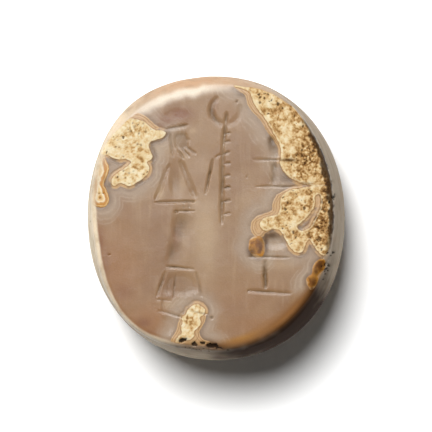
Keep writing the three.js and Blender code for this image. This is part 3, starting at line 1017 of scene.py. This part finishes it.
def agate():
    paint = Paint("agate")
    core, rim, amber, vein = (paint.attribute(name) for name in ("core", "rim", "amber", "vein"))
    border, crust, edge = (paint.attribute(name) for name in ("border", "crust", "edge"))
    on_face_only = paint.step(edge, 0.15, -0.05)

    colour = clear_stone(paint, crust, on_face_only)
    colour = paint.mix(paint.attribute("wall"), colour, wall_stone(paint))
    # Painted highlight along the worn ridge at the top of the face
    colour = paint.mix(paint.sums("MULTIPLY", paint.attribute("ridge_highlight"), 0.85), colour, RIDGE_HIGHLIGHT)

    # Painted shade just outside the inclusions, stronger on their sides away from the light
    lower = paint.step(paint.attribute("away_from_light"), -0.6, 0.8)
    border_shade = paint.sums("MULTIPLY", paint.step(crust, 0.4, 0.0, 0.55), on_face_only)
    border_shade = paint.sums("MULTIPLY", border_shade, paint.sums("ADD", paint.sums("MULTIPLY", lower, 0.75), 0.25))
    colour = paint.mix(border_shade, colour, BORDER_SHADE)
    patchy = paint.sums("MULTIPLY", on_face_only, paint.step(paint.noise(0.9, 3.0), 0.38, 0.6))
    banded = paint.sums("MULTIPLY", paint.step(border, 0.30, 0.16), patchy)
    colour = paint.mix(banded, colour, RIM)
    colour = paint.mix(paint.sums("MULTIPLY", paint.step(rim, 0.03, -0.03), on_face_only), colour, RIM)
    for at, strength in ((-0.14, 0.6), (-0.34, 0.4)):
        thin = paint.sums("MULTIPLY", paint.line(rim, at, 0.06, strength), on_face_only)
        colour = paint.mix(thin, colour, RIM_LINE)
    colour = paint.mix(paint.step(amber, 0.03, -0.05), colour, amber_glass(paint, amber))
    in_vein = paint.sums("MULTIPLY", paint.step(vein, 0.03, -0.03), paint.step(edge, 0.4, -0.3))
    colour = paint.mix(in_vein, colour, vein_rings(paint, vein))
    colour = paint.mix(paint.step(core, 0.03, -0.04), colour, chalk(paint, border))
    for at, half, strength, where in ((0.02, 0.06, 0.6, on_face_only), (0.3, 0.06, 0.5, patchy)):
        thin = paint.sums("MULTIPLY", paint.line(border, at, half, strength), where)
        colour = paint.mix(thin, colour, RIM_LINE)

    colour = paint.mix(paint.attribute("gold"), colour, GOLD)
    # Brown stain with painted shade along the lower right edge of the face
    colour = paint.mix(paint.attribute("stain_and_shade"), colour, STAIN_AND_SHADE)
    colour = paint.mix(paint.attribute("brown"), colour, UMBER)
    # Painted shade in a dark band where the right edge turns into the wall
    colour = paint.mix(paint.step(paint.attribute("right_edge_shade"), 0.1, 0.8, 0.92), colour, RIGHT_EDGE_SHADE)
    # Dirt in the cuts, darkened further as painted shade in the recesses
    colour = paint.mix(paint.sums("MULTIPLY", paint.attribute("dirt_and_shade"), 0.8), colour, DIRT_AND_SHADE)
    colour = paint.mix(paint.step(paint.attribute("pore"), 0.1, 0.7, 0.85), colour, PORE)
    # Pits painted near black, partly as painted shade in the hollow
    colour = paint.mix(paint.step(paint.attribute("pit"), 0.1, 1.0, 0.88), colour, PIT_AND_SHADE)
    fine = paint.step(paint.noise(9.0, 3.0), 0.3, 0.7)
    colour = paint.mix(0.14, colour, paint.mix(fine, GREY, WHITE), "MULTIPLY")
    paint.feed(paint.surface.inputs["Base Color"], colour)

    opaque = paint.step(core, 0.05, -0.05)
    rough = paint.step(paint.noise(2.5, 3.0), 0.2, 0.9, 0.08)
    rough = paint.sums("MAXIMUM", rough, paint.sums("MULTIPLY", opaque, 0.65))
    rough = paint.sums("MAXIMUM", rough, paint.step(edge, 0.4, 1.0, 0.75))
    rough = paint.sums("MAXIMUM", rough, paint.step(paint.attribute("pit"), 0.05, 0.5, 0.8))
    paint.feed(paint.surface.inputs["Roughness"], paint.sums("ADD", rough, 0.17))
    paint.surface.inputs["Subsurface Weight"].default_value = 0.5
    paint.surface.inputs["Subsurface Radius"].default_value = (1.0, 0.75, 0.6)
    paint.surface.inputs["Subsurface Scale"].default_value = 0.6 * MM
    paint.surface.inputs["IOR"].default_value = 1.54
    paint.surface.inputs["Specular IOR Level"].default_value = 0.09

    bump = paint.tree.nodes.new("ShaderNodeBump")
    bump.inputs["Strength"].default_value = 0.5
    bump.inputs["Distance"].default_value = 0.04 * MM
    rough_grain = paint.sums("MULTIPLY", paint.noise(7.0, 4.0, 0.6), opaque)
    paint.feed(bump.inputs["Height"], paint.sums("ADD", rough_grain, paint.sums("MULTIPLY", fine, 0.08)))
    paint.feed(paint.surface.inputs["Normal"], bump.outputs["Normal"])
    return paint.material


def table_top():
    paint = Paint("white_table")
    shade = paint.mix(paint.noise(0.02), (0.88, 0.88, 0.88, 1.0), (0.91, 0.91, 0.9, 1.0))
    paint.feed(paint.surface.inputs["Base Color"], shade)
    paint.surface.inputs["Roughness"].default_value = 0.9
    paint.surface.inputs["Specular IOR Level"].default_value = 0.0
    return paint.material


# The stage

FLOOR_SIDE = 3.0
KEY_LIGHT = {"azimuth": 113, "elevation": 67.5, "distance": 0.5, "size": 0.29, "power": 5.0}
WORLD_STRENGTH = 0.075


def direction(azimuth, elevation):
    a, e = math.radians(azimuth), math.radians(elevation)
    return Vector((math.cos(a) * math.cos(e), math.sin(a) * math.cos(e), math.sin(e)))


def make_floor():
    half = FLOOR_SIDE / 2
    mesh = bpy.data.meshes.new("floor")
    corners = [(-half, -half, 0), (half, -half, 0), (half, half, 0), (-half, half, 0)]
    mesh.from_pydata(corners, [], [(0, 1, 2, 3)])
    floor = bpy.data.objects.new("floor", mesh)
    floor.data.materials.append(table_top())
    bpy.context.scene.collection.objects.link(floor)
    return floor


def make_light():
    lamp = bpy.data.lights.new("softbox", "AREA")
    lamp.shape = "DISK"
    lamp.size = KEY_LIGHT["size"]
    lamp.energy = KEY_LIGHT["power"]
    softbox = bpy.data.objects.new("softbox", lamp)
    towards = direction(KEY_LIGHT["azimuth"], KEY_LIGHT["elevation"])
    softbox.location = towards * KEY_LIGHT["distance"]
    softbox.rotation_euler = towards.to_track_quat("Z", "Y").to_euler()
    softbox.visible_camera = False
    bpy.context.scene.collection.objects.link(softbox)

    world = bpy.data.worlds.new("room")
    world.use_nodes = True
    world.node_tree.nodes["Background"].inputs["Color"].default_value = (1, 1, 1, 1)
    world.node_tree.nodes["Background"].inputs["Strength"].default_value = WORLD_STRENGTH
    bpy.context.scene.world = world


# The camera leans a little to the lower right of the gem. With this lens the girdle shows at its true scale
CAMERA = {"azimuth": -42, "elevation": 84.1, "lens": 1000.0, "sensor": 36.0}
CAMERA_AIM = (-0.04, 0.21)


def make_camera():
    data = bpy.data.cameras.new("camera")
    data.lens = CAMERA["lens"]
    data.sensor_width = CAMERA["sensor"]
    camera = bpy.data.objects.new("camera", data)
    back = direction(CAMERA["azimuth"], CAMERA["elevation"])
    right = Vector((0, 1, 0)).cross(back).normalized()
    upward = back.cross(right)
    distance = CAMERA["lens"] * IMAGE_SIDE / (CAMERA["sensor"] * PIXELS_PER_MM) * MM
    aim = Vector((CAMERA_AIM[0], CAMERA_AIM[1], GIRDLE_HEIGHT)) * MM
    turned = Matrix((right, upward, back)).transposed().to_4x4()
    camera.matrix_world = Matrix.Translation(aim + back * distance) @ turned
    bpy.context.scene.collection.objects.link(camera)
    bpy.context.scene.camera = camera


gem = make_gem()
gem.data.materials.append(agate())
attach(gem, "root")
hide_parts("gem")
make_floor()
make_light()
make_camera()
bpy.context.scene.view_settings.view_transform = "Standard"
